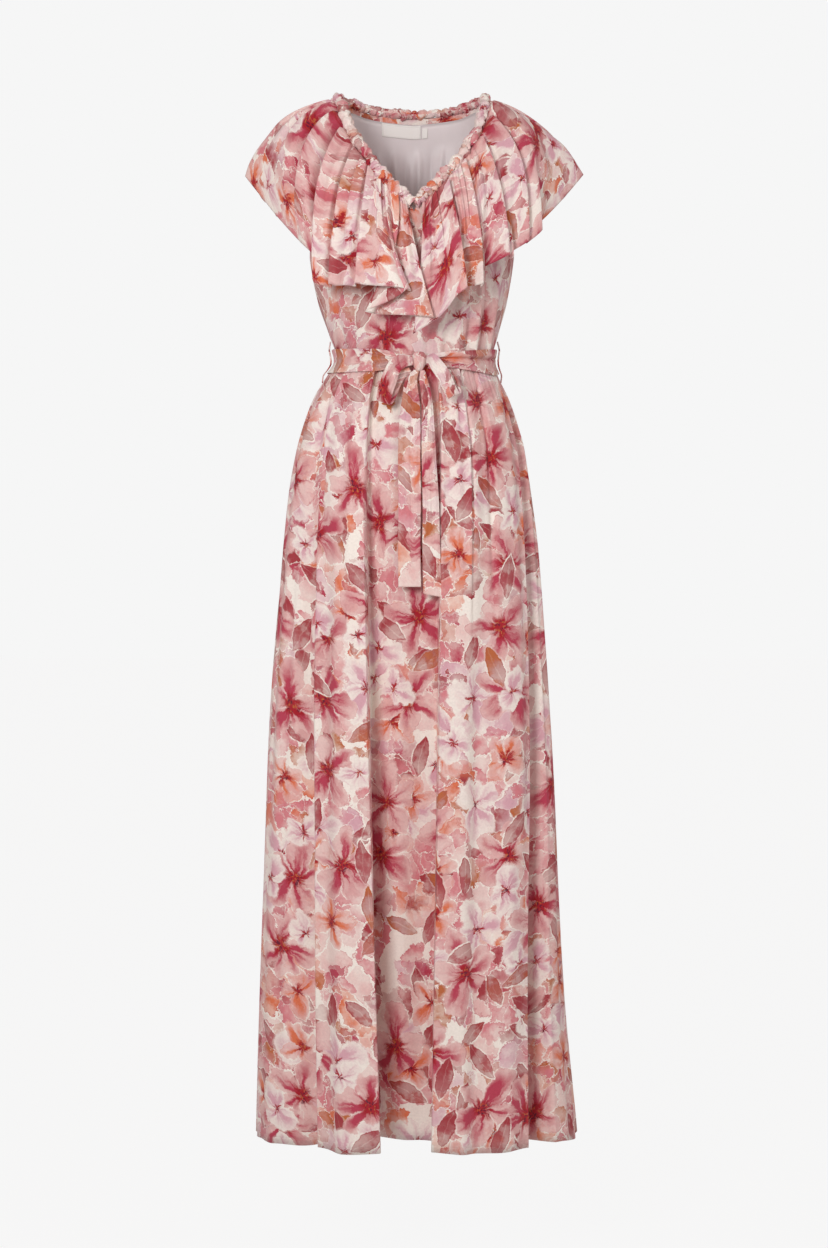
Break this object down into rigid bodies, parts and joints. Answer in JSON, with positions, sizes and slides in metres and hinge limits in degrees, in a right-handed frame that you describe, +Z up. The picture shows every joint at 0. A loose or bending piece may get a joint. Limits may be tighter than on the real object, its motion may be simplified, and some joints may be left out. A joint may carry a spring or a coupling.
{
  "type": "maxi dress",
  "caption": "Floor-length floral dress with a V neck, a wide ruffle collar over the shoulders, a gathered waist and a tie belt with a bow.",
  "frame": {"origin": "midway between the two shoulder seams, where the wearer's shoulders hold the dress", "axes": "+Z up, the front towards -Y, +X to the right of someone who faces the front"},
  "size_m": [0.4832, 0.3145, 1.4794],
  "materials": {
    "printed_crepe": "matt crepe with a watercolour flower print",
    "lining": "soft satin lining",
    "label_satin": "blank white satin label"
  },
  "bodies": {
    "root": {"skirt_front": "printed_crepe", "skirt_back": "printed_crepe", "bodice_front": "printed_crepe", "bodice_back": "printed_crepe", "neck_band": "printed_crepe", "collar_left": "printed_crepe", "collar_right": "printed_crepe", "neck_casing_left": "printed_crepe", "neck_casing_right": "printed_crepe", "neck_casing_back": "printed_crepe", "waist_belt": "printed_crepe", "belt_carrier_left": "printed_crepe", "belt_carrier_right": "printed_crepe", "belt_knot": "printed_crepe", "bow_loop_left": "printed_crepe", "bow_loop_right": "printed_crepe", "belt_tail_left": "printed_crepe", "belt_tail_right": "printed_crepe", "back_lining": "lining", "neck_label": "label_satin", "size_tab": "label_satin"}
  },
  "joints": []
}
